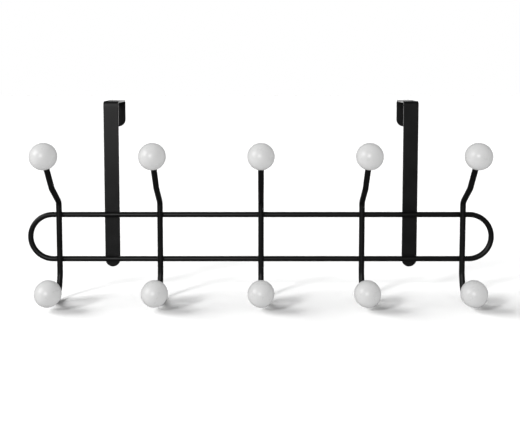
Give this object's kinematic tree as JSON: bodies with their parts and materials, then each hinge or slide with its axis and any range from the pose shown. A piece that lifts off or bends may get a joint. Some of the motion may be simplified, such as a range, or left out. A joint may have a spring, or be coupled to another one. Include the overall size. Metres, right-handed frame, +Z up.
{
  "type": "over-the-door coat rack",
  "caption": "Over-the-door coat rack: a steel rod rail loop with ball-tipped double hooks, hung from flat straps that hook over a door's top edge.",
  "frame": {"origin": "midway between the straps, on the front top edge of the door that the rack hangs on: the straps' back faces are at y = 0 and the underside of their tops is at z = 0", "axes": "+Z up, -Y the front, where the hooks point, +X along the rails to the right as seen from the front"},
  "size_m": [0.5, 0.1158, 0.2091],
  "materials": {
    "rod_coat": "satin black powder coat",
    "strap_coat": "satin black powder coat",
    "ball": "soft-gloss white",
    "pad_foam": "black closed-cell foam"
  },
  "bodies": {
    "root": {"rail_loop": "rod_coat", "hook_wire_1": "rod_coat", "hook_wire_2": "rod_coat", "hook_wire_3": "rod_coat", "hook_wire_4": "rod_coat", "hook_wire_5": "rod_coat", "upper_ball_1": "ball", "upper_ball_2": "ball", "upper_ball_3": "ball", "upper_ball_4": "ball", "upper_ball_5": "ball", "lower_ball_1": "ball", "lower_ball_2": "ball", "lower_ball_3": "ball", "lower_ball_4": "ball", "lower_ball_5": "ball", "door_strap_left": "strap_coat", "door_strap_right": "strap_coat", "door_pad_left": "pad_foam", "door_pad_right": "pad_foam"}
  },
  "joints": []
}
